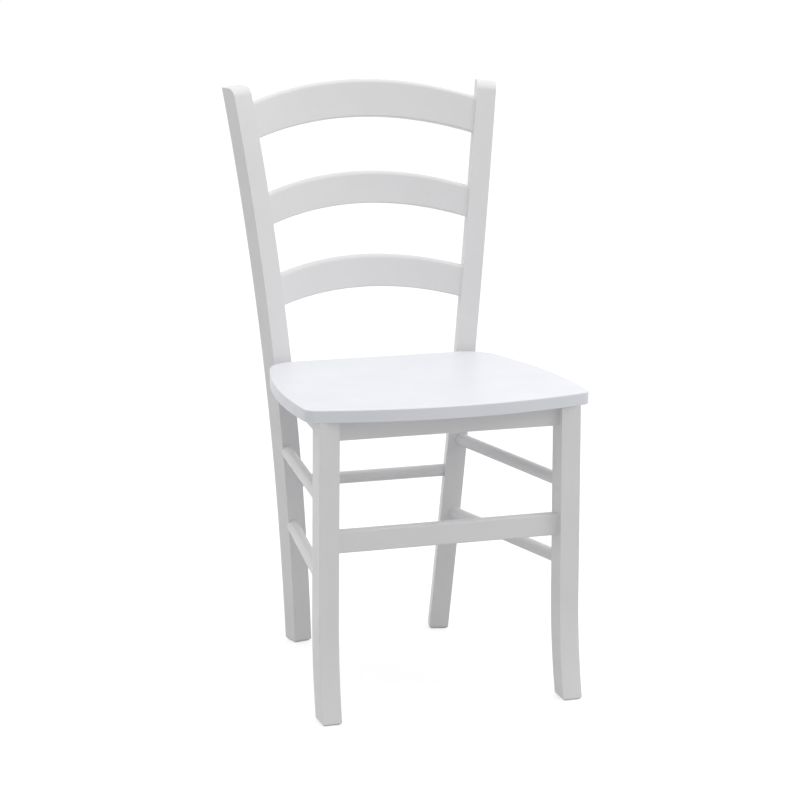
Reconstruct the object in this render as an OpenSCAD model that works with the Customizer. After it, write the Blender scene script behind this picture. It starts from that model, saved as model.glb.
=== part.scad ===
// Ladder-back dining chair with a solid wooden seat, all of it lacquered white.
// Millimetres, +Z up. The origin is on the floor under the middle of the chair, which faces -Y.
// A piece named right is on the +X side and its left twin is its mirror image.

/* [Overall] */
// Height of the seat's top above the floor
seat_height = 463; // [430:1:555]
// Height of the back posts
back_height = 884; // [737:1:940]
// From the front legs' front faces to the middle of the back posts
post_setback = 374; // [340:1:410]

/* [Front legs] */
// Distance over both front legs at the seat
front_width = 399; // [370:1:478]
// Width of a front leg
leg_width = 30; // [27:1:34]
// Depth of a front leg
leg_depth = 36; // [34:1:40]
// How far each front foot stands outside the top of its leg
leg_splay = 2.5; // [0:0.5:8]
// Height below which a front leg sweeps forward
sweep_height = 156; // [120:1:170]
// How far the front foot sweeps forward
sweep = 19.5; // [8:0.5:28]
// Chamfer around the soles
sole_chamfer = 3.5; // [1:0.5:4]

/* [Back posts] */
// Distance between the posts' middles at the height of the side rails
post_spacing = 297.5; // [270:0.5:320]
// Width of a post
post_width = 30.5; // [28:0.5:34]
// Depth of a post at its thinnest
post_depth = 33.5; // [31:0.5:38]
// Turn of each post towards the middle of the back, in degrees
post_turn = 13.9; // [8:0.1:16]
// Outward lean of each post, in degrees
post_lean = 4.86; // [3:0.01:6]
// How far the top of a post rakes back
post_rake = 65; // [50:1:80]
// How far the foot of a post kicks back
post_kick = 13; // [6:1:20]
// Radius of the rounded front edge on top of a post
post_top_radius = 18; // [8:1:20]
// Fall of a post's top towards its outer side, in degrees
post_top_fall = 6; // [0:0.5:8]

/* [Seat] */
// Thickness of the seat panel
seat_thickness = 18; // [16:1:24]
// How far the widest part of the seat stands out past each front leg
seat_side_overhang = 20.5; // [12:0.5:30]
// How far the middle of the seat's front edge stands before the front legs
seat_overhang = 26.5; // [20:0.5:34]
// Bow of the seat's front edge over its whole width
seat_front_bow = 32; // [20:1:36]
// Gap between the seat's back edge and the back posts
seat_gap = 3; // [0.5:0.5:20]
// Radius of the seat's side curves
seat_side_radius = 800; // [600:10:1000]
// Radius of the seat's front corners
seat_front_corner = 18; // [10:1:26]
// Radius of the seat's back corners
seat_back_corner = 55; // [30:1:60]

/* [Rails] */
// Height of the four rails under the seat
rail_height = 31; // [25:1:37]
// Thickness of the front and back rails
rail_thickness = 18; // [16:1:20]
// Thickness of the side rails
side_rail_thickness = 16; // [14:1:18]
// How far the front rail and stretcher stand behind the front of the legs
rail_inset = 12; // [6:0.5:14]
// Diameter of the dowels in the rail joints
dowel_diameter = 8; // [6:0.5:8]

/* [Slats] */
// Thickness of a slat
slat_thickness = 16; // [12:1:19]
// How far a slat bows back in its middle
slat_bow = 28; // [18:1:34]
// How far a slat's ends stand behind the front edges of the posts
slat_inset = 3; // [2:0.5:8]
// Drop from the tops of the posts to the middle of the top slat's ends
top_slat_drop = 51; // [46:1:80]
// Height of the top slat
top_slat_height = 59.5; // [46:0.5:62]
// Rise of the top slat's arch
top_slat_arch = 33.5; // [22:0.5:34]
// How far the middle slat's ends lie below halfway between the other two slats
middle_slat_drop = 5; // [-15:1:15]
// Height of the middle slat
middle_slat_height = 51; // [40:0.5:58]
// Rise of the middle slat's arch
middle_slat_arch = 28.5; // [18:0.5:34]
// Rise from the seat to the middle of the bottom slat's ends
bottom_slat_rise = 110; // [80:1:150]
// Height of the bottom slat
bottom_slat_height = 51.5; // [40:0.5:58]
// Rise of the bottom slat's arch
bottom_slat_arch = 21.5; // [14:0.5:30]

/* [Stretchers] */
// Height of the flat front stretcher's middle
front_stretcher_z = 264; // [240:1:290]
// Height of the front stretcher's section
front_stretcher_height = 32; // [26:1:38]
// Height of the round back stretcher
back_stretcher_z = 266; // [240:1:290]
// Diameter of the round stretchers
rod_diameter = 19.5; // [16:0.5:21.5]
// Rise from the back stretcher to the upper side stretchers, at the back posts
upper_back_rise = 52; // [36:1:90]
// Rise from the front stretcher to the upper side stretchers, at the front legs
upper_front_rise = 60; // [36:1:90]
// Drop from the back stretcher to the lower side stretchers, at the back posts
lower_back_drop = 69; // [36:1:100]
// Drop from the front stretcher to the lower side stretchers, at the front legs
lower_front_drop = 58.5; // [36:0.5:100]

/* [Hidden] */
// the arcs that make the sweeps and bows
function bow_radius(half, rise) = (half * half + rise * rise) / (2 * rise);
function arc_drop(r, h) = r - sqrt(r * r - h * h);

// front legs
leg_top = seat_height - seat_thickness;
leg_taper = 1.2;
sweep_front_r = bow_radius(sweep_height, sweep);
sweep_back_r = bow_radius(sweep_height, sweep + leg_taper);

// back posts, in their own plane: q runs backwards from the middle of the thinnest place
front_bend_z = 300;
back_bend_z = 262;
front_up_r = bow_radius(back_height - front_bend_z, post_rake);
front_low_r = bow_radius(front_bend_z, post_kick);
post_top_taper = 2.5;
back_up_r = bow_radius(back_height - back_bend_z, post_rake + post_top_taper);
post_foot_taper = 4.5;
back_low_r = bow_radius(back_bend_z, post_kick - post_foot_taper);
post_cut_z = back_height + 10;
lean_z = 400;
function lean(z) = (z - lean_z) * tan(post_lean);
function front_r_at(z) = z > front_bend_z ? front_up_r : front_low_r;
function back_r_at(z) = z > back_bend_z ? back_up_r : back_low_r;
function front_q(z) = -post_depth / 2 + arc_drop(front_r_at(z), z - front_bend_z);
function back_q(z) = post_depth / 2 + arc_drop(back_r_at(z), z - back_bend_z);
function post_slope(z) = asin((z - front_bend_z) / front_up_r);

// slats hang from the posts' tops and stand on the seat
top_slat_z = back_height - top_slat_drop;
bottom_slat_z = seat_height + bottom_slat_rise;
middle_slat_z = (top_slat_z + bottom_slat_z) / 2 - middle_slat_drop;

// the chair is centred on the origin between the seat's front edge and the back of the top slat
top_tilt = post_slope(top_slat_z);
top_inner_s = lean(top_slat_z) - post_width / 2;
top_corner_dy = -top_inner_s * sin(post_turn) + front_q(top_slat_z) * cos(post_turn);
slat_back_reach = (slat_bow + slat_thickness) * cos(top_tilt);
slat_top_reach = (top_slat_arch + top_slat_height / 2) * sin(top_tilt);
slat_reach = slat_back_reach + slat_top_reach;
leg_y = -(post_setback + top_corner_dy + slat_inset + slat_reach - seat_overhang) / 2;
slat_tenon_length = 20;
slat_shoulder = 4;
post_x = post_spacing / 2;
post_y = leg_y + post_setback;
function post_xy(s, q) = [
  post_x + s * cos(post_turn) + q * sin(post_turn),
  post_y - s * sin(post_turn) + q * cos(post_turn)
];
function front_mid(z) = post_xy(lean(z), front_q(z));
function front_corner(z) = post_xy(lean(z) - post_width / 2, front_q(z));
function outer_corner(z) = post_xy(lean(z) + post_width / 2, front_q(z));
function middle_xy(z) = post_xy(lean(z), (front_q(z) + back_q(z)) / 2);
function point_at(xy, z) = [xy[0], xy[1], z];

// glue line round each tenon and dowel, and the room past the end of one in its socket
fit = 0.1;
socket_room = 0.5;

// rails
rail_z = leg_top - rail_height;
rail_mid_z = leg_top - rail_height / 2;
front_rail_y = leg_y + rail_inset;
back_rail_inset = 1;
back_rail_y = front_corner(rail_mid_z)[1] + back_rail_inset;
side_rail_shift = 3.5;
side_rail_in_post = 12;
side_a = [front_width / 2 - leg_width / 2 - side_rail_shift, leg_y + leg_depth];
side_b = front_mid(rail_mid_z);
side_turn = atan2(side_a[0] - side_b[0], side_b[1] - side_a[1]);
side_length = norm(side_b - side_a);
side_inner_a = side_a[0] - side_rail_thickness / 2 / cos(side_turn);
function side_inner_x(y) = side_inner_a - (y - side_a[1]) * tan(side_turn);

// dowels: two at each end of the front and back rails, one at each end of a side rail,
// which stops short of the other two
dowel_wall = 3;
dowel_in_rail = 20;
dowel_in_leg = 16;
dowel_apart = 2;
dowel_hole = dowel_diameter + 2 * fit;
dowel_offset = rail_height / 2 - dowel_diameter / 2 - dowel_wall;
dowel_z = [rail_mid_z - dowel_offset, rail_mid_z + dowel_offset];
front_dowel_back = front_rail_y + rail_thickness / 2 + dowel_diameter / 2;
back_dowel_front = back_rail_y + rail_thickness / 2 - dowel_diameter / 2;
side_dowel_in_leg = side_a[1] - front_dowel_back - dowel_apart;
side_dowel_in_post = back_dowel_front - side_b[1] - dowel_apart;

// corner blocks and the screws that hold the seat
block_height = 20;
block_clear = 5;
block_reach = 48;
block_ends = [9, 50];
front_block_y = [front_rail_y + rail_thickness, side_a[1] + block_ends[0], side_a[1] + block_ends[1]];
front_block = [
  [side_inner_x(front_block_y[2]) - block_reach, front_block_y[0]],
  [front_width / 2 - leg_width - block_clear, front_block_y[0]],
  [side_inner_x(front_block_y[1]), front_block_y[1]],
  [side_inner_x(front_block_y[2]), front_block_y[2]]
];
back_block_x = front_corner(rail_mid_z)[0];
back_block_clear = 8;
back_block_ends = [21, 58];
back_block_y = [back_rail_y, back_rail_y - back_block_ends[0], back_rail_y - back_block_ends[1]];
back_block = [
  [back_block_x - block_reach, back_block_y[0]],
  [back_block_x - back_block_clear, back_block_y[0]],
  [side_inner_x(back_block_y[1]), back_block_y[1]],
  [side_inner_x(back_block_y[2]), back_block_y[2]]
];
screw_d = 4;
screw_head_d = 8;
screw_in_seat = 10;
screw_hole = screw_d + 2 * fit;
screw_length = block_height + screw_in_seat;
screw_edge = 14;
function middle_of(p) = (p[0] + p[1] + p[2] + p[3]) / 4;

// stretchers and their round tenons
rod_shoulder = 3;
stretcher_shoulder = 5;
tenon_d = rod_diameter - 2 * rod_shoulder;
tenon_length = 17;
rod_shift = 1.5;
rod_x = front_width / 2 - leg_width / 2 + rod_shift;
upper_rod_back_z = back_stretcher_z + upper_back_rise;
upper_rod_front_z = front_stretcher_z + upper_front_rise;
lower_rod_back_z = back_stretcher_z - lower_back_drop;
lower_rod_front_z = front_stretcher_z - lower_front_drop;
upper_front = [rod_x, leg_y + leg_depth, upper_rod_front_z];
upper_back = point_at(middle_xy(upper_rod_back_z), upper_rod_back_z);
lower_front = [rod_x, leg_y + leg_depth, lower_rod_front_z];
lower_back = point_at(middle_xy(lower_rod_back_z), lower_rod_back_z);
back_stretcher_at = middle_xy(back_stretcher_z);

// seat outline
seat_width = front_width + 2 * seat_side_overhang;
seat_widest = 80;
seat_widest_y = leg_y + seat_widest;
side_c = [seat_width / 2 - seat_side_radius, seat_widest_y];
front_run_in = 6;
front_r = bow_radius(seat_width / 2 - front_run_in, seat_front_bow);
front_c = [0, leg_y - seat_overhang + front_r];
seat_back_y = outer_corner(leg_top)[1] - seat_gap;
front_screw = middle_of(front_block);
back_screw = [middle_of(back_block)[0], seat_back_y - screw_edge];
// a rounded corner's circle stands out past the curves it joins by this much, so that they cross
crossing = 0.05;
// centre of a circle of radius r inside both outlines
function meet(c1, r1, c2, r2) =
  let (d = norm(c2 - c1), u = (c2 - c1) / d)
  let (a = (r1 * r1 - r2 * r2 + d * d) / (2 * d), h = sqrt(r1 * r1 - a * a))
  [c1[0] + a * u[0] - h * u[1], c1[1] + a * u[1] + h * u[0]];
corner_f = meet(front_c, front_r - seat_front_corner, side_c, seat_side_radius - seat_front_corner);
corner_b_y = seat_back_y - seat_back_corner;
corner_b = [
  side_c[0] + sqrt(pow(seat_side_radius - seat_back_corner, 2) - pow(corner_b_y - side_c[1], 2)),
  corner_b_y
];

$fn = 96;
fine = 720;

// ---- helpers ----
module along_x(width) {
  translate([-width, 0, 0]) rotate([90, 0, 90]) linear_extrude(height = 2 * width) children();
}

module along_y(y_from, y_to) {
  translate([0, y_to, 0]) rotate([90, 0, 0]) linear_extrude(height = y_to - y_from) children();
}

// a cylinder from a to b, longer by extra at both ends
module bar(a, b, d, extra_a = 0, extra_b = 0) {
  v = b - a;
  n = norm(v);
  translate(a - v / n * extra_a)
    rotate([0, acos(v[2] / n), atan2(v[1], v[0])])
      cylinder(h = n + extra_a + extra_b, d = d);
}

// takes what lies outside a corner circle at c, between the directions to t1 and t2
module corner_waste(c, r, t1, t2, tip) {
  difference() {
    polygon([c, t1, tip, t2]);
    translate(c) circle(r = r + crossing);
  }
}

// the slanted cut that eases the edge of a sole, for a foot whose edge is at the origin
module sole_cut() {
  out = 6;
  below = 1;
  polygon([[-out, -below], [sole_chamfer + below, -below], [-out, sole_chamfer + out]]);
}

// ---- front legs ----
module front_leg_side() {
  difference() {
    union() {
      translate([0, sweep_height]) square([leg_depth, leg_top - sweep_height]);
      difference() {
        intersection() {
          translate([leg_depth - sweep_back_r, sweep_height]) circle(r = sweep_back_r, $fn = fine);
          translate([-60, 0]) square([120, sweep_height]);
        }
        translate([-sweep_front_r, sweep_height]) circle(r = sweep_front_r, $fn = fine);
      }
    }
    translate([-sweep, 0]) sole_cut();
    translate([leg_depth - sweep - leg_taper, 0]) mirror([1, 0]) sole_cut();
  }
}

module front_leg_front() {
  out = front_width / 2;
  foot = out + leg_splay;
  polygon([
    [out - leg_width, leg_top],
    [out, leg_top],
    [foot, sole_chamfer],
    [foot - sole_chamfer, 0],
    [foot - leg_width + sole_chamfer, 0],
    [foot - leg_width, sole_chamfer]
  ]);
}

module front_leg_blank() {
  intersection() {
    translate([0, leg_y, 0]) along_x(300) front_leg_side();
    along_y(leg_y - 60, leg_y + 60) front_leg_front();
  }
}

module front_leg() {
  difference() {
    front_leg_blank();
    front_rail_dowels(dowel_hole, socket_room);
    side_rail_dowel(dowel_hole, socket_room);
    front_tenon(fit, socket_room);
    rod_tenon(upper_back, upper_front, fit, socket_room);
    rod_tenon(lower_back, lower_front, fit, socket_room);
  }
}

// ---- back posts ----
module post_front_area() {
  intersection() {
    translate([front_up_r - post_depth / 2, front_bend_z]) circle(r = front_up_r, $fn = fine);
    translate([-100, front_bend_z]) square([300, post_cut_z - front_bend_z]);
  }
  intersection() {
    translate([front_low_r - post_depth / 2, front_bend_z]) circle(r = front_low_r, $fn = fine);
    translate([-100, 0]) square([300, front_bend_z]);
  }
}

module post_back_area() {
  intersection() {
    translate([back_up_r + post_depth / 2, back_bend_z]) circle(r = back_up_r, $fn = fine);
    translate([-90, back_bend_z]) square([400, post_cut_z - back_bend_z + 10]);
  }
  intersection() {
    translate([back_low_r + post_depth / 2, back_bend_z]) circle(r = back_low_r, $fn = fine);
    translate([-90, -10]) square([400, back_bend_z + 10]);
  }
}

module post_side() {
  difference() {
    post_front_area();
    post_back_area();
    translate([front_q(0), 0]) sole_cut();
    translate([back_q(0), 0]) mirror([1, 0]) sole_cut();
  }
}

// what the flat top and its rounded front edge take off, seen from the side
module post_top_waste() {
  cz = back_height - post_top_radius;
  k = front_up_r - post_top_radius;
  far = front_up_r - post_depth / 2;
  c = [far - sqrt(k * k - pow(cz - front_bend_z, 2)), cz];
  out = c + (c - [far, front_bend_z]) * 30 / k;
  above = back_height + post_depth;
  corner_waste(c, post_top_radius, out, [c[0], above], [out[0], above]);
  translate([c[0], back_height]) square([3 * post_depth, post_depth]);
}

// the same, falling outwards along the front face from the top's inner edge
module post_top_cut() {
  z = back_height - post_top_radius;
  slope = post_slope(z);
  at = [lean(back_height) - post_width / 2, front_q(z), z];
  translate(at) rotate([-slope, 0, 0]) rotate([0, post_top_fall, 0]) rotate([slope, 0, 0])
    translate([0, -at[1], -at[2]]) along_x(2 * post_width) post_top_waste();
}

module post_front() {
  w = post_width / 2;
  polygon([
    [lean(post_cut_z) - w, post_cut_z],
    [lean(post_cut_z) + w, post_cut_z],
    [lean(0) + w, sole_chamfer],
    [lean(0) + w - sole_chamfer, 0],
    [lean(0) - w + sole_chamfer, 0],
    [lean(0) - w, sole_chamfer]
  ]);
}

module post_blank() {
  translate([post_x, post_y, 0]) rotate([0, 0, -post_turn]) difference() {
    intersection() {
      along_x(100) post_side();
      along_y(-100, 200) post_front();
    }
    post_top_cut();
  }
}

module back_post() {
  difference() {
    post_blank();
    slat_tenon(top_slat_z, top_slat_height, top_slat_arch, fit, socket_room);
    slat_tenon(middle_slat_z, middle_slat_height, middle_slat_arch, fit, socket_room);
    slat_tenon(bottom_slat_z, bottom_slat_height, bottom_slat_arch, fit, socket_room);
    back_rail_dowels(dowel_hole, socket_room);
    side_rail_dowel(dowel_hole, socket_room);
    back_tenon(fit, socket_room);
    rod_tenon(upper_back, upper_front, fit, socket_room);
    rod_tenon(lower_back, lower_front, fit, socket_room);
  }
}

module both_posts() {
  post_blank();
  mirror([1, 0, 0]) post_blank();
}

// ---- slats ----
// an arched, bowed band: half is its half length, inset is taken off each face and edge
module slat_band(z, height, arch, half, inset) {
  end_x = front_corner(z)[0];
  end_y = front_corner(z)[1] + slat_inset;
  bow_r = bow_radius(end_x, slat_bow);
  arch_r = bow_radius(end_x, arch);
  edge = height / 2 - inset;
  translate([0, end_y, z]) rotate([-post_slope(z), 0, 0]) intersection() {
    translate([0, slat_bow - bow_r, -100]) linear_extrude(height = 200) intersection() {
      difference() {
        circle(r = bow_r + slat_thickness - inset, $fn = fine);
        circle(r = bow_r + inset, $fn = fine);
      }
      translate([-half, 0]) square([2 * half, 2 * bow_r]);
    }
    along_y(-100, 100) intersection() {
      difference() {
        translate([0, arch - arch_r + edge]) circle(r = arch_r, $fn = fine);
        translate([0, arch - arch_r - edge]) circle(r = arch_r, $fn = fine);
      }
      translate([-half, -100]) square([2 * half, 200]);
    }
  }
}

module slat_tenon(z, height, arch, clear = 0, room = 0) {
  reach = slat_tenon_length + room;
  slat_band(z, height, arch, front_corner(z)[0] + reach, slat_shoulder - clear);
}

module slat(z, height, arch) {
  difference() {
    slat_band(z, height, arch, front_corner(z)[0] + slat_tenon_length / 2, 0);
    both_posts();
  }
  slat_tenon(z, height, arch);
}

// ---- seat ----
module seat_corner_waste() {
  ff = corner_f + (corner_f - front_c) * 40 / (front_r - seat_front_corner);
  fs = corner_f + (corner_f - side_c) * 40 / (seat_side_radius - seat_front_corner);
  corner_waste(corner_f, seat_front_corner, ff, fs, [fs[0], ff[1]]);
  bs = corner_b + (corner_b - side_c) * 60 / (seat_side_radius - seat_back_corner);
  corner_waste(corner_b, seat_back_corner, bs, [corner_b[0], seat_back_y + 20], [bs[0], seat_back_y + 20]);
}

module seat_outline() {
  difference() {
    intersection() {
      translate(front_c) circle(r = front_r, $fn = fine);
      translate(side_c) circle(r = seat_side_radius, $fn = fine);
      translate([-side_c[0], side_c[1]]) circle(r = seat_side_radius, $fn = fine);
      translate([-seat_width, seat_back_y - seat_width * 2]) square(seat_width * 2);
    }
    seat_corner_waste();
    mirror([1, 0]) seat_corner_waste();
  }
}

module seat() {
  difference() {
    translate([0, 0, leg_top]) linear_extrude(height = seat_thickness) seat_outline();
    for (m = [0, 1]) mirror([m, 0, 0]) {
      seat_screw_hole(front_screw);
      seat_screw_hole(back_screw);
    }
  }
}

// ---- rails ----
module front_rail_bar() {
  half = front_width / 2 - leg_width;
  grow = leg_splay * rail_height / leg_top;
  along_y(front_rail_y, front_rail_y + rail_thickness)
    polygon([[-half, leg_top], [half, leg_top], [half + grow, rail_z], [-half - grow, rail_z]]);
}

module front_rail_piece() {
  difference() {
    front_rail_bar();
    for (m = [0, 1]) mirror([m, 0, 0]) front_rail_dowels(dowel_hole, socket_room);
  }
}

module back_rail_piece() {
  half = middle_xy(rail_mid_z)[0];
  difference() {
    translate([-half, back_rail_y, rail_z]) cube([2 * half, rail_thickness, rail_height]);
    both_posts();
    for (m = [0, 1]) mirror([m, 0, 0]) back_rail_dowels(dowel_hole, socket_room);
  }
}

module side_rail_piece() {
  t = side_rail_thickness;
  difference() {
    intersection() {
      translate([side_a[0], side_a[1], rail_z]) rotate([0, 0, side_turn])
        translate([-t / 2, -t, 0]) cube([t, side_length + t + side_rail_in_post, rail_height]);
      translate([0, side_a[1], 0]) cube([front_width, 2 * post_setback, seat_height]);
    }
    post_blank();
    side_rail_dowel(dowel_hole, socket_room);
  }
}

// dowels on the right-hand side, longer by extra at both ends
module front_rail_dowels(d, extra) {
  x = front_width / 2 - leg_width;
  y = front_rail_y + rail_thickness / 2;
  for (z = dowel_z)
    bar([x - dowel_in_rail, y, z], [x + dowel_in_leg, y, z], d, extra, extra);
}

module back_rail_dowels(d, extra) {
  x = post_xy(lean(rail_mid_z) - post_width / 2, 0)[0];
  y = back_rail_y + rail_thickness / 2;
  for (z = dowel_z)
    bar([x - dowel_in_rail, y, z], [x + dowel_in_leg, y, z], d, extra, extra);
}

module side_rail_dowel(d, extra) {
  u = (side_b - side_a) / side_length;
  a = point_at(side_a, rail_mid_z);
  b = point_at(side_b, rail_mid_z);
  v = point_at(u, 0);
  bar(a - v * side_dowel_in_leg, a + v * dowel_in_rail, d, extra, extra);
  bar(b - v * dowel_in_rail, b + v * side_dowel_in_post, d, extra, extra);
}

module dowels() {
  for (m = [0, 1]) mirror([m, 0, 0]) {
    front_rail_dowels(dowel_diameter, 0);
    back_rail_dowels(dowel_diameter, 0);
    side_rail_dowel(dowel_diameter, 0);
  }
}

// ---- stretchers ----
module front_tenon(clear = 0, room = 0) {
  half = front_width / 2 - leg_width + tenon_length + room;
  t = rail_thickness - 2 * stretcher_shoulder + 2 * clear;
  h = front_stretcher_height - 2 * stretcher_shoulder + 2 * clear;
  y = front_rail_y + rail_thickness / 2 - t / 2;
  translate([-half, y, front_stretcher_z - h / 2]) cube([2 * half, t, h]);
}

module flat_stretcher() {
  half = front_width / 2 - leg_width;
  low = front_stretcher_z - front_stretcher_height / 2;
  top = front_stretcher_z + front_stretcher_height / 2;
  x_low = half + leg_splay * (1 - low / leg_top);
  x_top = half + leg_splay * (1 - top / leg_top);
  along_y(front_rail_y, front_rail_y + rail_thickness)
    polygon([[-x_low, low], [x_low, low], [x_top, top], [-x_top, top]]);
  front_tenon();
}

module back_tenon(clear = 0, room = 0) {
  half = post_xy(lean(back_stretcher_z) - post_width / 2, 0)[0] + tenon_length + room;
  y = back_stretcher_at[1];
  bar([-half, y, back_stretcher_z], [half, y, back_stretcher_z], tenon_d + 2 * clear);
}

module round_back_stretcher() {
  half = back_stretcher_at[0];
  y = back_stretcher_at[1];
  difference() {
    bar([-half, y, back_stretcher_z], [half, y, back_stretcher_z], rod_diameter);
    both_posts();
  }
  back_tenon();
}

module rod_tenon(back, front, clear = 0, room = 0) {
  bar(back, front, tenon_d + 2 * clear, room, tenon_length + room);
}

module rod(back, front) {
  difference() {
    bar(back, front, rod_diameter, 0, rod_diameter / 2);
    post_blank();
    translate([0, leg_y - leg_depth, 0]) cube([front_width, 2 * leg_depth, leg_top]);
  }
  rod_tenon(back, front);
}

// ---- corner blocks and seat screws ----
module screw_shaft(at, d, extra) {
  translate([at[0], at[1], leg_top - block_height - extra])
    cylinder(h = screw_length + 2 * extra, d = d);
}

module seat_screw_hole(at) {
  screw_shaft(at, screw_hole, socket_room);
}

module screw(at) {
  screw_shaft(at, screw_d, 0);
  translate([at[0], at[1], leg_top - block_height])
    cylinder(h = (screw_head_d - screw_d) / 2, d1 = screw_head_d, d2 = screw_d);
}

module block(outline, at) {
  sink = (screw_head_d - screw_d) / 2 + fit;
  difference() {
    translate([0, 0, leg_top - block_height]) linear_extrude(height = block_height) polygon(outline);
    seat_screw_hole(at);
    translate([at[0], at[1], leg_top - block_height - 1])
      cylinder(h = sink + 1, d1 = screw_hole + 2 * (sink + 1), d2 = screw_hole);
  }
}

// ---- nodes ----
module front_leg_right() { color("white") front_leg(); }
module front_leg_left() { color("white") mirror([1, 0, 0]) front_leg(); }
module back_post_right() { color("white") back_post(); }
module back_post_left() { color("white") mirror([1, 0, 0]) back_post(); }
module top_slat() { color("white") slat(top_slat_z, top_slat_height, top_slat_arch); }
module middle_slat() { color("white") slat(middle_slat_z, middle_slat_height, middle_slat_arch); }
module bottom_slat() { color("white") slat(bottom_slat_z, bottom_slat_height, bottom_slat_arch); }
module seat_panel() { color("whitesmoke") seat(); }
module front_rail() { color("white") front_rail_piece(); }
module back_rail() { color("white") back_rail_piece(); }
module side_rail_right() { color("white") side_rail_piece(); }
module side_rail_left() { color("white") mirror([1, 0, 0]) side_rail_piece(); }
module front_stretcher() { color("white") flat_stretcher(); }
module back_stretcher() { color("white") round_back_stretcher(); }
module upper_rod_right() { color("white") rod(upper_back, upper_front); }
module upper_rod_left() { color("white") mirror([1, 0, 0]) rod(upper_back, upper_front); }
module lower_rod_right() { color("white") rod(lower_back, lower_front); }
module lower_rod_left() { color("white") mirror([1, 0, 0]) rod(lower_back, lower_front); }
module block_front_right() { color("white") block(front_block, front_screw); }
module block_front_left() { color("white") mirror([1, 0, 0]) block(front_block, front_screw); }
module block_back_right() { color("white") block(back_block, back_screw); }
module block_back_left() { color("white") mirror([1, 0, 0]) block(back_block, back_screw); }
module rail_dowels() { color("burlywood") dowels(); }
module seat_screws() {
  color("silver") for (m = [0, 1]) mirror([m, 0, 0]) {
    screw(front_screw);
    screw(back_screw);
  }
}

front_leg_left();
front_leg_right();
back_post_left();
back_post_right();
top_slat();
middle_slat();
bottom_slat();
seat_panel();
front_rail();
back_rail();
side_rail_left();
side_rail_right();
front_stretcher();
back_stretcher();
upper_rod_left();
upper_rod_right();
lower_rod_left();
lower_rod_right();
block_front_left();
block_front_right();
block_back_left();
block_back_right();
rail_dowels();
seat_screws();
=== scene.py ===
# %% [markdown]
# # A white-lacquered ladder-back chair
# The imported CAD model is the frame: every piece already stands at its real place and size, in metres,
# with +Z up and the chair facing -Y. Blender adds what the hand and the eye find on the real chair: eased
# edges, bent slats, a sprayed lacquer with the beech just showing through it, and plain studio light.

# %% Load the frame
from math import asin, cos, degrees, pi, radians, sin, sqrt, tan

import bmesh
import bpy
from mathutils import Matrix, Vector
from mathutils.bvhtree import BVHTree


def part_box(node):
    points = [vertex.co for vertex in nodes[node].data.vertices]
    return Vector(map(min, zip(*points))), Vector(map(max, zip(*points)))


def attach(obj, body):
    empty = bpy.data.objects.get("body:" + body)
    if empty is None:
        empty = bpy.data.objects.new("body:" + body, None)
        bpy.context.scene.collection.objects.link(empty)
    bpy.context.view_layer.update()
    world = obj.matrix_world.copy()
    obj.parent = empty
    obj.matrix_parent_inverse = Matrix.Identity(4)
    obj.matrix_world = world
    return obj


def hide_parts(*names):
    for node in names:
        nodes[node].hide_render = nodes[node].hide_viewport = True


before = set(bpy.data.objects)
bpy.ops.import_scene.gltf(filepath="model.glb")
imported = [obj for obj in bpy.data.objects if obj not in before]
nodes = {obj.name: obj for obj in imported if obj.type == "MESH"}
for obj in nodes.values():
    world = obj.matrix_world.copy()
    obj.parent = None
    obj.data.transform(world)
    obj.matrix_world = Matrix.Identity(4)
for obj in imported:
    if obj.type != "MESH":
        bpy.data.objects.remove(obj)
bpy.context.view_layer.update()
MM = 0.001

# %% [markdown]
# ## The camera
# The camera stands a few metres back with a long lens, a little to the chair's left and at the height of a
# standing person's chest, so that legs stay parallel and the seat's top shows as a thin wedge. It is set by
# its place, the way it faces and its lens. It could be aimed with a Track To constraint, but three
# rotations are simpler to read: turn it upright and dip it, roll it by a hair, and swing it towards the
# chair.

# %% Set up the camera
CAMERA_AT = Vector((-1.2066, -3.5794, 1.2364))
SWING = radians(18.65)
DIP = radians(11.63)
TILT = radians(0.28)
LENS_MM, SENSOR_MM = 114.4, 36.0
SHIFT_X, SHIFT_Y = -0.0066, -0.0307
FAR_CLIP = 50.0

camera_data = bpy.data.cameras.new("camera")
camera_data.lens = LENS_MM
camera_data.sensor_width = SENSOR_MM
camera_data.shift_x = SHIFT_X
camera_data.shift_y = SHIFT_Y
camera_data.clip_end = FAR_CLIP
camera = bpy.data.objects.new("camera", camera_data)
upright_and_dipped = Matrix.Rotation(pi / 2 - DIP, 4, "X") @ Matrix.Rotation(TILT, 4, "Z")
camera.matrix_world = Matrix.Translation(CAMERA_AT) @ Matrix.Rotation(-SWING, 4, "Z") @ upright_and_dipped
bpy.context.scene.collection.objects.link(camera)
bpy.context.scene.camera = camera
bpy.context.scene.view_settings.view_transform = "Standard"
print("camera", round(CAMERA_AT.length, 2), "m from the origin, lens", LENS_MM, "mm")

# %% [markdown]
# ## Building materials from nodes
# A material is a small graph of nodes. One helper adds any node: it sets the node's properties and gives
# each input a value, or a link when it is handed a socket or another node. So each material below reads
# as a list of what it is made of. Colours are the hex values that a paint chart gives, and one function
# turns them into the linear light that the renderer adds up.

# %% Helpers for nodes
def linear(hex_colour):
    """An sRGB hex colour as linear RGBA."""
    parts = [int(hex_colour[i:i + 2], 16) / 255 for i in (1, 3, 5)]
    return tuple(c / 12.92 if c <= 0.04045 else ((c + 0.055) / 1.055) ** 2.4 for c in parts) + (1.0,)


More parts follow.
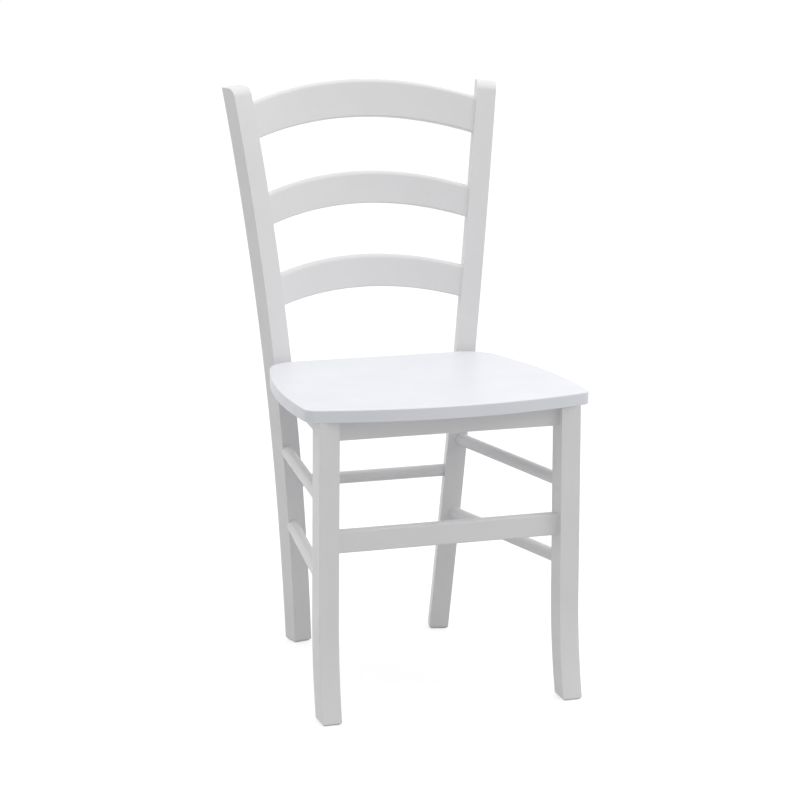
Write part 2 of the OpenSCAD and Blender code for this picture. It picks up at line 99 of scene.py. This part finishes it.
def add(tree, kind, inputs=None, **settings):
    """Adds a node. Each input, by name or number, takes a value, a socket, or a node's first output."""
    node = tree.nodes.new(kind)
    for name, value in settings.items():
        setattr(node, name, value)
    for key, value in (inputs or {}).items():
        if isinstance(value, bpy.types.Node):
            value = value.outputs[0]
        if isinstance(value, bpy.types.NodeSocket):
            tree.links.new(value, node.inputs[key])
        else:
            node.inputs[key].default_value = value
    return node


def new_material(name):
    """An empty node material, with its tree, its Principled shader and its object coordinates."""
    material = bpy.data.materials.new(name)
    material.use_nodes = True
    tree = material.node_tree
    tree.nodes.clear()
    shader = add(tree, "ShaderNodeBsdfPrincipled")
    add(tree, "ShaderNodeOutputMaterial", {"Surface": shader})
    place = add(tree, "ShaderNodeTexCoord").outputs["Object"]
    return material, tree, shader, place


print("white", [round(c, 3) for c in linear("#E6E6E4")])

# %% [markdown]
# ## Sprayed white lacquer over beech
# The real finish is a polyurethane lacquer, sprayed white on sanded beech and left satin. To the eye it
# is almost one colour. What makes it wood and not plastic is small: the sheen breaks up in a fine orange
# peel a few millimetres across, growth lines telegraph through as faint lengthwise streaks, and the film
# pools a little thicker here and there. It could be one noise for all of it, but the three have very
# different sizes, so each is a noise of its own. The growth lines run along a piece, so the recipe takes
# the axis that the grain follows.

# %% Make the lacquer
LINE_GAP, LINE_LENGTH = 2.2 * MM, 90 * MM
POOL, PEEL = 60 * MM, 3 * MM


def lacquer(name, colour, shade, grain_axis, roughness):
    """Satin lacquer: an even white whose sheen, and hardly its colour, tells that wood lies below."""
    material, tree, shader, place = new_material(name)
    stretch = [1 / (LINE_LENGTH if axis == grain_axis else LINE_GAP) for axis in "XYZ"]
    along = add(tree, "ShaderNodeMapping", {"Vector": place, "Scale": stretch})
    lines = add(tree, "ShaderNodeTexNoise",
                {"Vector": along, "Scale": 1.0, "Detail": 4.0, "Roughness": 0.6})
    film = add(tree, "ShaderNodeTexNoise", {"Vector": place, "Scale": 1 / POOL, "Detail": 2.0})
    peel = add(tree, "ShaderNodeTexNoise",
               {"Vector": place, "Scale": 1 / PEEL, "Detail": 1.5, "Roughness": 0.4})
    streaks = add(tree, "ShaderNodeMapRange",
                  {"Value": lines, "From Min": 0.35, "From Max": 0.72, "To Max": 0.30})
    pools = add(tree, "ShaderNodeMapRange",
                {"Value": film, "From Min": 0.3, "From Max": 0.7, "To Max": 0.35})
    amount = add(tree, "ShaderNodeMath", {0: streaks, 1: pools}, operation="ADD", use_clamp=True)
    tint = add(tree, "ShaderNodeMix", {0: amount, 6: linear(colour), 7: linear(shade)}, data_type="RGBA")
    tree.links.new(tint.outputs[2], shader.inputs["Base Color"])
    sheen = add(tree, "ShaderNodeMapRange", {"Value": film, "From Min": 0.3, "From Max": 0.7,
                                             "To Min": roughness - 0.04, "To Max": roughness + 0.05})
    tree.links.new(sheen.outputs["Result"], shader.inputs["Roughness"])
    raised = add(tree, "ShaderNodeBump", {"Height": lines, "Strength": 0.12, "Distance": 0.12 * MM})
    dimpled = add(tree, "ShaderNodeBump",
                  {"Height": peel, "Normal": raised, "Strength": 0.18, "Distance": 0.10 * MM})
    tree.links.new(dimpled.outputs["Normal"], shader.inputs["Normal"])
    shader.inputs["IOR"].default_value = 1.5
    return material


# The frame's lacquer gives the eye a neutral satin white, so that only light tells one face from the next.
WHITE, WHITE_SHADE, SATIN = "#EAE9EA", "#E4E3E4", 0.42
white_upright = lacquer("white_lacquer_upright", WHITE, WHITE_SHADE, "Z", SATIN)
white_cross = lacquer("white_lacquer_cross", WHITE, WHITE_SHADE, "X", SATIN)
white_side = lacquer("white_lacquer_side", WHITE, WHITE_SHADE, "Y", SATIN)
# The seat's lacquer is rubbed a little smoother. Its white and grain tone are tinted a touch cooler than
# the frame's same lacquer: painted light, a painted reflection of the cool light from above on its wide
# top, which tints its edges too.
SEAT_WHITE_PAINTED_COOL, SEAT_GRAIN_TONE_PAINTED_COOL, RUBBED = "#E9EBF0", "#E3E5EB", 0.38
seat_lacquer_painted_cool = lacquer("white_lacquer_seat_painted_cool_light", SEAT_WHITE_PAINTED_COOL, SEAT_GRAIN_TONE_PAINTED_COOL, "Y", RUBBED)
print("lacquers:", [m.name for m in (white_upright, white_cross, white_side, seat_lacquer_painted_cool)])

# %% [markdown]
# ## Bare beech and zinc
# The corner blocks under the seat are sprayed with the frame, but the dowels go in bare: turned beech is
# a warm pinkish tan with short dark flecks, the cut ends of its rays. Stretched cells of a Voronoi
# texture make the flecks, because they have clear edges, and noise makes the soft grain. The screws are
# zinc-plated steel, a cool grey with a soft patchy shine.

# %% Make the beech
GRAIN_GAP, GRAIN_LENGTH = 2 * MM, 30 * MM
FLECK_WIDTH, FLECK_LENGTH = 0.8 * MM, 4 * MM
BEECH_LIGHT, BEECH_DARK, BEECH_FLECK = "#D9B68C", "#BF9468", "#8F6540"


def bare_beech():
    """Turned beech, which gives the eye a warm tan with short dark flecks along the grain."""
    material, tree, shader, place = new_material("bare_beech")
    along = add(tree, "ShaderNodeMapping",
                {"Vector": place, "Scale": (1 / GRAIN_LENGTH, 1 / GRAIN_GAP, 1 / GRAIN_GAP)})
    grain = add(tree, "ShaderNodeTexNoise",
                {"Vector": along, "Scale": 1.0, "Detail": 5.0, "Roughness": 0.6})
    ray_ends = add(tree, "ShaderNodeMapping",
                   {"Vector": place, "Scale": (1 / FLECK_LENGTH, 1 / FLECK_WIDTH, 1 / FLECK_WIDTH)})
    cells = add(tree, "ShaderNodeTexVoronoi", {"Vector": ray_ends, "Scale": 1.0})
    flecks = add(tree, "ShaderNodeMapRange", {"Value": cells, "From Min": 0.10, "From Max": 0.25,
                                              "To Min": 0.55, "To Max": 0.0})
    body = add(tree, "ShaderNodeMix",
               {0: grain, 6: linear(BEECH_LIGHT), 7: linear(BEECH_DARK)}, data_type="RGBA")
    flecked = add(tree, "ShaderNodeMix",
                  {0: flecks, 6: body.outputs[2], 7: linear(BEECH_FLECK)}, data_type="RGBA")
    tree.links.new(flecked.outputs[2], shader.inputs["Base Color"])
    bump = add(tree, "ShaderNodeBump", {"Height": grain, "Strength": 0.3, "Distance": 0.2 * MM})
    tree.links.new(bump.outputs["Normal"], shader.inputs["Normal"])
    shader.inputs["Roughness"].default_value = 0.62
    return material


beech = bare_beech()
print("beech:", len(beech.node_tree.nodes), "nodes")

# %% Make the zinc
ZINC_LIGHT, ZINC_DARK = "#C9CBC9", "#B4B6B1"
ZINC_PATCH = 1.5 * MM


def zinc_plate():
    """Zinc-plated steel, which gives the eye a cool grey metal whose shine is patchy."""
    material, tree, shader, place = new_material("zinc_plated_steel")
    patches = add(tree, "ShaderNodeTexNoise", {"Vector": place, "Scale": 1 / ZINC_PATCH, "Detail": 3.0})
    shine = add(tree, "ShaderNodeMapRange", {"Value": patches, "To Min": 0.28, "To Max": 0.48})
    tree.links.new(shine.outputs["Result"], shader.inputs["Roughness"])
    colour = add(tree, "ShaderNodeMix",
                 {0: patches, 6: linear(ZINC_LIGHT), 7: linear(ZINC_DARK)}, data_type="RGBA")
    tree.links.new(colour.outputs[2], shader.inputs["Base Color"])
    shader.inputs["Metallic"].default_value = 1.0
    return material


zinc = zinc_plate()
print("zinc:", len(zinc.node_tree.nodes), "nodes")

# %% [markdown]
# ## Easing the edges
# A joiner eases every edge that a hand can reach, but leaves the edges of a glued joint crisp, so that
# the joint closes tight. The same rule is used here. Each CAD mesh is copied, its loose triangles are
# merged and its flat faces cleaned of the triangles' lines. Then each sharp edge gets a bevel weight,
# unless it lies on a neighbouring piece, and a Bevel modifier rounds the weighted edges. Rounding every
# edge alike would be shorter, but it would open a groove along each glued joint.

# %% Find what each piece touches
def surface_of(names):
    """A search tree over the CAD surfaces of some nodes."""
    points, faces = [], []
    for name in names:
        mesh = nodes[name].data
        start = len(points)
        points += [v.co.copy() for v in mesh.vertices]
        faces += [[start + i for i in polygon.vertices] for polygon in mesh.polygons]
    return BVHTree.FromPolygons(points, faces)


JOINT_REACH = 0.6 * MM
print("a joint's edge lies within", JOINT_REACH / MM, "mm of the next piece")

# %% Weigh the edges of a piece
SHARP = radians(28)


def weigh_edges(bm, name, low_share, glued):
    """Leaves a piece's glued edges crisp, and gives its other sharp edges a weight to be rounded by."""
    others = surface_of([other for other in nodes if other != name])
    middle_z = sum(corner[2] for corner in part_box(name)) / 2
    weights = bm.edges.layers.float.new("bevel_weight_edge")
    count = 0
    for edge in bm.edges:
        if len(edge.link_faces) != 2 or edge.calc_face_angle(0.0) < SHARP:
            continue
        middle = (edge.verts[0].co + edge.verts[1].co) / 2
        if glued and others.find_nearest(middle, JOINT_REACH)[0] is not None:
            edge.smooth = False
            continue
        edge[weights] = 1.0 if middle.z > middle_z else low_share
        count += 1
    return count


print("an edge is sharp where its faces turn by more than", round(degrees(SHARP)), "degrees")

# %% Copy a node and ease its edges
SAME_POINT, SAME_PLANE = 0.002 * MM, radians(0.2)


def shade_flat_faces_flat(piece):
    """Lets the wide faces set the shading, so that only the rounded edges look rounded."""
    flat = piece.modifiers.new("flat_faces", "WEIGHTED_NORMAL")
    flat.keep_sharp = True
    flat.weight = 100


def eased(name, radius, material, segments=3, low_share=1.0, glued=True):
    """A copy of a CAD node with its edges rounded; the lower ones can be rounded less."""
    mesh = bpy.data.meshes.new(name + "_wood")
    bm = bmesh.new()
    bm.from_mesh(nodes[name].data)
    bmesh.ops.remove_doubles(bm, verts=bm.verts, dist=SAME_POINT)
    bmesh.ops.dissolve_limit(bm, angle_limit=SAME_PLANE, verts=bm.verts, edges=bm.edges)
    count = weigh_edges(bm, name, low_share, glued)
    for face in bm.faces:
        face.smooth = True
    bm.to_mesh(mesh)
    bm.free()
    piece = bpy.data.objects.new(name + "_wood", mesh)
    bpy.context.scene.collection.objects.link(piece)
    mesh.materials.append(material)
    bevel = piece.modifiers.new("ease", "BEVEL")
    bevel.limit_method = "WEIGHT"
    bevel.width = radius
    bevel.segments = segments
    shade_flat_faces_flat(piece)
    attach(piece, "root")
    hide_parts(name)
    print(name, "faces", len(mesh.polygons), "eased edges", count)
    return piece


print("points closer than", SAME_POINT / MM, "mm are merged before the edges are eased")

# %% [markdown]
# ## Legs, rails, stretchers and seat
# The uprights are gripped and brushed past, so a router takes 2.5 mm off their edges. Rails and
# stretchers are smaller and get 2 mm. The seat is worked most: its top edge is rounded with a 9 mm
# cutter, for the thighs, and its lower edge only broken. The rods are turned round, so they have no long
# edge to ease. The corner blocks and dowels are left as the saw left them, so their CAD nodes stay and
# only get a finish.

# %% Make the pieces
UPRIGHT = ["front_leg_left", "front_leg_right", "back_post_left", "back_post_right"]
CROSS = ["front_rail", "back_rail", "front_stretcher", "back_stretcher"]
SIDE = [kind + side for kind in ("side_rail_", "upper_rod_", "lower_rod_") for side in ("left", "right")]
UPRIGHT_EDGE, CROSS_EDGE, SEAT_EDGE = 2.5 * MM, 2.0 * MM, 9.0 * MM
SEAT_STEPS, SEAT_LOW_SHARE = 8, 0.2
for name in UPRIGHT:
    eased(name, UPRIGHT_EDGE, white_upright)
for name in CROSS:
    eased(name, CROSS_EDGE, white_cross)
for name in SIDE:
    eased(name, CROSS_EDGE, white_side)
# The seat gets the lacquer whose white carries a painted cool tint, standing in for the cool light that its
# top reflects.
eased("seat_panel", SEAT_EDGE, seat_lacquer_painted_cool, segments=SEAT_STEPS,
      low_share=SEAT_LOW_SHARE, glued=False)

BLOCKS = ["block_front_left", "block_front_right", "block_back_left", "block_back_right"]
for name in BLOCKS + ["rail_dowels"]:
    nodes[name].data.materials.clear()
    nodes[name].data.materials.append(beech if name == "rail_dowels" else white_cross)
print("plain CAD pieces:", BLOCKS + ["rail_dowels"])

# %% [markdown]
# ## Geometry Nodes: two helpers
# A Geometry Nodes tree is a recipe with named inputs. The first helper makes an empty recipe. The second
# runs a recipe on a mesh with the values given, and hands back the plain mesh that comes out, so that
# nothing live is left on the finished piece.

# %% Helpers for recipes
def new_recipe(name, inputs):
    """An empty recipe: returns its tree, its named inputs' sockets and the socket for its result."""
    tree = bpy.data.node_groups.new(name, "GeometryNodeTree")
    tree.interface.new_socket("Geometry", in_out="INPUT", socket_type="NodeSocketGeometry")
    tree.interface.new_socket("Geometry", in_out="OUTPUT", socket_type="NodeSocketGeometry")
    for socket_name, kind in inputs.items():
        tree.interface.new_socket(socket_name, in_out="INPUT", socket_type="NodeSocket" + kind)
    return tree, add(tree, "NodeGroupInput").outputs, add(tree, "NodeGroupOutput").inputs["Geometry"]


def cook(tree, name, start_mesh, values):
    """Runs a recipe on a mesh and returns a new object that holds the plain result."""
    holder = bpy.data.objects.new(name + "_recipe", start_mesh)
    bpy.context.scene.collection.objects.link(holder)
    modifier = holder.modifiers.new("recipe", "NODES")
    modifier.node_group = tree
    for item in tree.interface.items_tree:
        if item.item_type == "SOCKET" and item.in_out == "INPUT" and item.name in values:
            modifier[item.identifier] = values[item.name]
    graph = bpy.context.evaluated_depsgraph_get()
    mesh = bpy.data.meshes.new_from_object(holder.evaluated_get(graph))
    holder.modifiers.remove(modifier)
    bpy.data.objects.remove(holder)
    piece = bpy.data.objects.new(name, mesh)
    bpy.context.scene.collection.objects.link(piece)
    return piece


print("recipes ready")

# %% [markdown]
# ## The slats
# Each slat is steamed beech, bent backwards round a former so that it fits a back, with both edges sawn
# to one arch. Its top edge, which a hand grips to carry the chair, is well rounded, and its lower edge is
# nearly square. It could be cut from the CAD mesh, but a bend shows best on even faces, so the slat is
# grown by a rule: a bar is drawn straight along X, each point is turned round the bow's centre and lifted
# by the arch, and the whole is tipped back to lie along the posts. Its ends run on into the posts'
# mortices.

# %% The slat recipe: a straight bar
SPINE_POINTS, ROUND_STEPS = 121, 8
slats, given, result = new_recipe("bowed_slat", {
    "Half Length": "Float", "Bow": "Float", "Bow Radius": "Float", "Arch": "Float", "Arch Radius": "Float",
    "Height": "Float", "Thickness": "Float", "Top Radius": "Float", "Low Radius": "Float", "Tilt": "Float",
    "Place": "Vector", "Finish": "Material"})
minus_half = add(slats, "ShaderNodeMath", {0: given["Half Length"], 1: -1.0}, operation="MULTIPLY")
left_end = add(slats, "ShaderNodeCombineXYZ", {"X": minus_half})
right_end = add(slats, "ShaderNodeCombineXYZ", {"X": given["Half Length"]})
line = add(slats, "GeometryNodeCurvePrimitiveLine", {"Start": left_end, "End": right_end})
spine = add(slats, "GeometryNodeResampleCurve", {"Curve": line, "Count": SPINE_POINTS})
section = add(slats, "GeometryNodeCurvePrimitiveQuadrilateral",
              {"Width": given["Thickness"], "Height": given["Height"]})
# The section's +Y comes out at the slat's lower edge once it is swept along X.
corner = add(slats, "ShaderNodeSeparateXYZ", {"Vector": add(slats, "GeometryNodeInputPosition")})
is_top = add(slats, "FunctionNodeCompare", {0: corner.outputs["Y"], 1: 0.0}, operation="LESS_THAN")
radius = add(slats, "GeometryNodeSwitch", input_type="FLOAT", inputs={
    "Switch": is_top, "True": given["Top Radius"], "False": given["Low Radius"]})
rounded = add(slats, "GeometryNodeFilletCurve",
              {"Curve": section, "Radius": radius, "Count": ROUND_STEPS}, mode="POLY")
upright = add(slats, "GeometryNodeSetCurveNormal", {"Curve": spine}, mode="Z_UP")
bar = add(slats, "GeometryNodeCurveToMesh", {"Curve": upright, "Profile Curve": rounded, "Fill Caps": True})
print("slat recipe nodes so far:", len(slats.nodes))

# %% The slat recipe: the bow
at = add(slats, "ShaderNodeSeparateXYZ", {"Vector": add(slats, "GeometryNodeInputPosition")})
into = add(slats, "ShaderNodeMath", {0: given["Thickness"], 1: 0.5, 2: at.outputs["Y"]},
           operation="MULTIPLY_ADD")
reach = add(slats, "ShaderNodeMath", {0: given["Bow Radius"], 1: into}, operation="ADD")
arm = add(slats, "ShaderNodeCombineXYZ", {"Y": reach, "Z": at.outputs["Z"]})
angle = add(slats, "ShaderNodeMath", {0: at.outputs["X"], 1: given["Bow Radius"]}, operation="DIVIDE")
bowed = add(slats, "ShaderNodeVectorRotate", {"Vector": arm, "Angle": angle},
            rotation_type="Z_AXIS", invert=True)
bow_shift = add(slats, "ShaderNodeMath", {0: given["Bow"], 1: given["Bow Radius"]}, operation="SUBTRACT")
print("slat recipe nodes with the bow:", len(slats.nodes))

# %% The slat recipe: the arch and the tilt
bowed_x = add(slats, "ShaderNodeSeparateXYZ", {"Vector": bowed})
x_squared = add(slats, "ShaderNodeMath", {0: bowed_x, 1: 2.0}, operation="POWER")
arch_squared = add(slats, "ShaderNodeMath", {0: given["Arch Radius"], 1: 2.0}, operation="POWER")
under_root = add(slats, "ShaderNodeMath", {0: arch_squared, 1: x_squared}, operation="SUBTRACT")
above_centre = add(slats, "ShaderNodeMath", {0: under_root}, operation="SQRT")
arch_shift = add(slats, "ShaderNodeMath", {0: given["Arch"], 1: given["Arch Radius"]}, operation="SUBTRACT")
lift = add(slats, "ShaderNodeMath", {0: above_centre, 1: arch_shift}, operation="ADD")
shift = add(slats, "ShaderNodeCombineXYZ", {"Y": bow_shift, "Z": lift})
arched = add(slats, "ShaderNodeVectorMath", {0: bowed, 1: shift}, operation="ADD")
tilted = add(slats, "ShaderNodeVectorRotate", {"Vector": arched, "Angle": given["Tilt"]},
             rotation_type="X_AXIS", invert=True)
placed = add(slats, "ShaderNodeVectorMath", {0: tilted, 1: given["Place"]}, operation="ADD")
shaped = add(slats, "GeometryNodeSetPosition", {"Geometry": bar, "Position": placed})
whole = add(slats, "GeometryNodeRealizeInstances", {"Geometry": shaped})
finished = add(slats, "GeometryNodeSetMaterial", {"Geometry": whole, "Material": given["Finish"]})
slats.links.new(finished.outputs["Geometry"], result)
print("slat recipe nodes:", len(slats.nodes))

# %% [markdown]
# ## Where the slats hang
# The posts curve backwards on one long arc above their bend, turn a little to face the sitter and lean
# apart. Each slat's ends lie against the inner front corner of the posts, and the slat is tipped to
# follow their arc.

# %% The posts' curve
def arc_radius(half, rise):
    """Radius of the arc that rises by rise over a chord of twice half."""
    return (half ** 2 + rise ** 2) / (2 * rise)


SEAT_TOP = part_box("seat_panel")[1][2]
SEAT_OVERHANG = 26.5 * MM
LEG_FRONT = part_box("seat_panel")[0][1] + SEAT_OVERHANG
BACK_TOP = 884 * MM
POST_BEND, POST_RAKE = 300 * MM, 65 * MM
LEG_FRONT_TO_POST = 374 * MM
POST_MIDDLE_Y = LEG_FRONT + LEG_FRONT_TO_POST
POST_WIDTH, POST_DEPTH = 30.5 * MM, 33.5 * MM
POST_TURN, POST_LEAN, LEAN_FROM = radians(13.9), radians(4.86), 400 * MM
POST_ARC = arc_radius(BACK_TOP - POST_BEND, POST_RAKE)
SLAT_INSET = 3 * MM


def slat_seat(height):
    """Where a slat's end lies, front to back, and the post's slope there."""
    out = (height - LEAN_FROM) * tan(POST_LEAN) - POST_WIDTH / 2
    rise = height - POST_BEND
    back = POST_ARC - sqrt(POST_ARC ** 2 - rise ** 2) - POST_DEPTH / 2
    return POST_MIDDLE_Y - out * sin(POST_TURN) + back * cos(POST_TURN) + SLAT_INSET, asin(rise / POST_ARC)


print("posts' arc has a radius of", round(POST_ARC, 3), "m")

# %% Make the slats
TENON, TENON_SHOWN = 20 * MM, 9 * MM
SLAT_BOW, SLAT_THICKNESS = 28 * MM, 16 * MM
TOP_EDGE, LOW_EDGE = 7.5 * MM, 2 * MM
TOP_DROP, MIDDLE_DROP, BOTTOM_RISE = 51 * MM, 5 * MM, 110 * MM
TOP_Z, BOTTOM_Z = BACK_TOP - TOP_DROP, SEAT_TOP + BOTTOM_RISE
MIDDLE_Z = (TOP_Z + BOTTOM_Z) / 2 - MIDDLE_DROP
END_MARGIN = 5 * MM
SLATS = {
    "top_slat": {"z": TOP_Z, "Height": 59.5 * MM, "Arch": 33.5 * MM},
    "middle_slat": {"z": MIDDLE_Z, "Height": 51 * MM, "Arch": 28.5 * MM},
    "bottom_slat": {"z": BOTTOM_Z, "Height": 51.5 * MM, "Arch": 21.5 * MM},
}
for name, size in SLATS.items():
    end_y, tilt = slat_seat(size["z"])
    half_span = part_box(name)[1][0] - TENON
    piece = cook(slats, name + "_wood", bpy.data.meshes.new(name + "_start"), {
        "Half Length": half_span + TENON_SHOWN, "Height": size["Height"], "Thickness": SLAT_THICKNESS,
        "Bow": SLAT_BOW, "Bow Radius": arc_radius(half_span, SLAT_BOW),
        "Arch": size["Arch"], "Arch Radius": arc_radius(half_span, size["Arch"]),
        "Top Radius": TOP_EDGE, "Low Radius": LOW_EDGE,
        "Tilt": tilt, "Place": (0.0, end_y, size["z"]), "Finish": white_cross})
    surface = surface_of([name])
    shown = [v.co for v in piece.data.vertices if abs(v.co.x) < half_span - END_MARGIN]
    off = max(surface.find_nearest(point)[3] for point in shown)
    for polygon in piece.data.polygons:
        polygon.use_smooth = True
    shade_flat_faces_flat(piece)
    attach(piece, "root")
    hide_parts(name)
    print(name, "tilt", round(degrees(tilt), 1), "furthest from the frame's slat, mm:", round(off / MM, 2))

# %% [markdown]
# ## The seat's screws
# Four zinc-plated countersunk screws come up through the corner blocks and pull the seat down onto its
# rails. Only their heads show, from below. They are one shape repeated, so one screw is made and placed
# on four points: a cone and a shank joined, with a cross cut into the head.

# %% The screw recipe: one screw
SCREW_SIDES = 32
SLOT_SHARE = 0.56
screw, given, result = new_recipe("seat_screw", {
    "Head": "Float", "Shank": "Float", "Length": "Float", "Slot": "Float", "Finish": "Material"})
head_r = add(screw, "ShaderNodeMath", {0: given["Head"], 1: 0.5}, operation="MULTIPLY")
shank_r = add(screw, "ShaderNodeMath", {0: given["Shank"], 1: 0.5}, operation="MULTIPLY")
head_depth = add(screw, "ShaderNodeMath", {0: head_r, 1: shank_r}, operation="SUBTRACT")
half_depth = add(screw, "ShaderNodeMath", {0: head_depth, 1: 0.5}, operation="MULTIPLY")
cone = add(screw, "GeometryNodeMeshCone",
           {"Radius Top": shank_r, "Radius Bottom": head_r, "Depth": head_depth, "Vertices": SCREW_SIDES})
shank_length = add(screw, "ShaderNodeMath", {0: given["Length"], 1: half_depth}, operation="SUBTRACT")
shank = add(screw, "GeometryNodeMeshCylinder",
            {"Radius": shank_r, "Depth": shank_length, "Vertices": SCREW_SIDES})
shank_up = add(screw, "ShaderNodeMath", {0: shank_length, 1: 0.5, 2: half_depth}, operation="MULTIPLY_ADD")
raise_by = add(screw, "ShaderNodeCombineXYZ", {"Z": shank_up})
raised = add(screw, "GeometryNodeTransform", {"Geometry": shank, "Translation": raise_by})
body = add(screw, "GeometryNodeMeshBoolean", {"Mesh 2": cone}, operation="UNION", solver="EXACT")
screw.links.new(raised.outputs["Geometry"], body.inputs["Mesh 2"])
slot_length = add(screw, "ShaderNodeMath", {0: given["Head"], 1: SLOT_SHARE}, operation="MULTIPLY")
print("screw recipe nodes so far:", len(screw.nodes))

# %% The screw recipe: the cross, and four of them
slotted = body
for along, across in (("X", "Y"), ("Y", "X")):
    bar_size = add(screw, "ShaderNodeCombineXYZ",
                   {along: slot_length, across: given["Slot"], "Z": given["Shank"]})
    bar = add(screw, "GeometryNodeMeshCube", {"Size": bar_size})
    slotted = add(screw, "GeometryNodeMeshBoolean", {"Mesh 1": slotted, "Mesh 2": bar},
                  operation="DIFFERENCE", solver="EXACT")
places = add(screw, "GeometryNodeMeshToPoints", {"Mesh": given["Geometry"]})
copies = add(screw, "GeometryNodeInstanceOnPoints", {"Points": places, "Instance": slotted})
whole = add(screw, "GeometryNodeRealizeInstances", {"Geometry": copies})
finished = add(screw, "GeometryNodeSetMaterial", {"Geometry": whole, "Material": given["Finish"]})
screw.links.new(finished.outputs["Geometry"], result)
print("screw recipe nodes:", len(screw.nodes))

# %% Drive the screws
# Each of the frame's four screws lies in a quarter of its own, so its middle is found from its lowest ring.
HEAD, SHANK, LENGTH, SLOT_WIDTH = 8 * MM, 4 * MM, 30 * MM, 1.1 * MM
LOWEST_RING = 0.1 * MM
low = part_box("seat_screws")[0][2]
rings = {}
for vertex in nodes["seat_screws"].data.vertices:
    if vertex.co.z < low + LOWEST_RING:
        rings.setdefault((vertex.co.x > 0, vertex.co.y > 0), []).append(vertex.co.copy())
spots = []
for ring in rings.values():
    middle = [(min(p[i] for p in ring) + max(p[i] for p in ring)) / 2 for i in (0, 1)]
    spots.append((*middle, low + (HEAD - SHANK) / 4))
marks = bpy.data.meshes.new("screw_places")
marks.from_pydata(spots, [], [])
screws = cook(screw, "seat_screws_zinc", marks,
              {"Head": HEAD, "Shank": SHANK, "Length": LENGTH, "Slot": SLOT_WIDTH, "Finish": zinc})
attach(screws, "root")
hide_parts("seat_screws")
print("screws at", [[round(c / MM, 1) for c in spot] for spot in spots], "faces", len(screws.data.polygons))

# %% [markdown]
# ## Floor, backdrop and light
# The studio has no visible room: the floor is paper, and so is everything behind the chair. Soft
# light comes from all round, most from above, with a large lamp overhead and one at the front right. The
# paper and the world look white only to a ray that the camera sends, or sees in a metal; as light they
# stay grey. So the background is white while the lacquer keeps its own greys, and the floor keeps a soft
# shadow.

# %% Paper floor
def seen_directly(tree):
    """1 where a surface is seen straight, mirrored or through glass, and 0 where it only gives light."""
    path = add(tree, "ShaderNodeLightPath")
    straight, mirrored = path.outputs["Is Camera Ray"], path.outputs["Is Glossy Ray"]
    either = add(tree, "ShaderNodeMath", {0: straight, 1: mirrored}, operation="MAXIMUM")
    through = path.outputs["Is Transmission Ray"]
    return add(tree, "ShaderNodeMath", {0: either, 1: through}, operation="MAXIMUM")


PAPER, FLOOR_GLOW = "#BABABA", 0.64


def studio_paper():
    """Matt paper, which gives the eye a plain white with the chair's faint shadow on it."""
    material, tree, shader, _ = new_material("studio_paper")
    shader.inputs["Base Color"].default_value = linear(PAPER)
    shader.inputs["Roughness"].default_value = 0.95
    shader.inputs["Specular IOR Level"].default_value = 0.1
    glow = add(tree, "ShaderNodeMath", {0: seen_directly(tree), 1: FLOOR_GLOW}, operation="MULTIPLY")
    shader.inputs["Emission Color"].default_value = (1, 1, 1, 1)
    tree.links.new(glow.outputs["Value"], shader.inputs["Emission Strength"])
    return material


REACH = 14.0
floor_mesh = bpy.data.meshes.new("floor")
corners = [(-REACH, -REACH, 0), (REACH, -REACH, 0), (REACH, REACH, 0), (-REACH, REACH, 0)]
floor_mesh.from_pydata(corners, [], [(0, 1, 2, 3)])
floor_mesh.materials.append(studio_paper())
floor = bpy.data.objects.new("floor", floor_mesh)
bpy.context.scene.collection.objects.link(floor)
print("floor", 2 * REACH, "m wide")

# %% The world
# Soft light from all round: EVENLY is its level before the slope, and SLOPE says how much it grows towards
# +X, +Y and +Z.
EVENLY = 0.65
SLOPE = (0.06, 0.20, 0.34)
world = bpy.data.worlds.new("studio")
bpy.context.scene.world = world
world.use_nodes = True
sky = world.node_tree
sky.nodes.clear()
facing = add(sky, "ShaderNodeTexCoord").outputs["Generated"]
rise = add(sky, "ShaderNodeVectorMath", {0: facing, 1: SLOPE}, operation="DOT_PRODUCT").outputs["Value"]
strength = add(sky, "ShaderNodeMath", {0: rise, 1: EVENLY}, operation="ADD")
soft = add(sky, "ShaderNodeBackground", {"Strength": strength, "Color": (1, 1, 1, 1)})
white = add(sky, "ShaderNodeBackground", {"Strength": 1.0, "Color": (1, 1, 1, 1)})
seen = add(sky, "ShaderNodeMixShader", {0: seen_directly(sky), 1: soft, 2: white})
add(sky, "ShaderNodeOutputWorld", {"Surface": seen})
print("world nodes:", len(sky.nodes))

# %% The lamps
def lamp(name, at, aim, width, watts):
    """A square softbox that faces a point."""
    data = bpy.data.lights.new(name, "AREA")
    data.shape = "SQUARE"
    data.size = width
    data.energy = watts
    light = bpy.data.objects.new(name, data)
    light.location = at
    light.rotation_euler = (Vector(aim) - Vector(at)).to_track_quat("-Z", "Y").to_euler()
    bpy.context.scene.collection.objects.link(light)
    return light


overhead = lamp("overhead", at=(0.4, -0.5, 3.3), aim=(0, 0, 0.5), width=2.4, watts=20)
key = lamp("key", at=(3.0, -2.1, 2.4), aim=(0, 0, 0.6), width=1.6, watts=17)
print("lamps:", overhead.name, key.name)
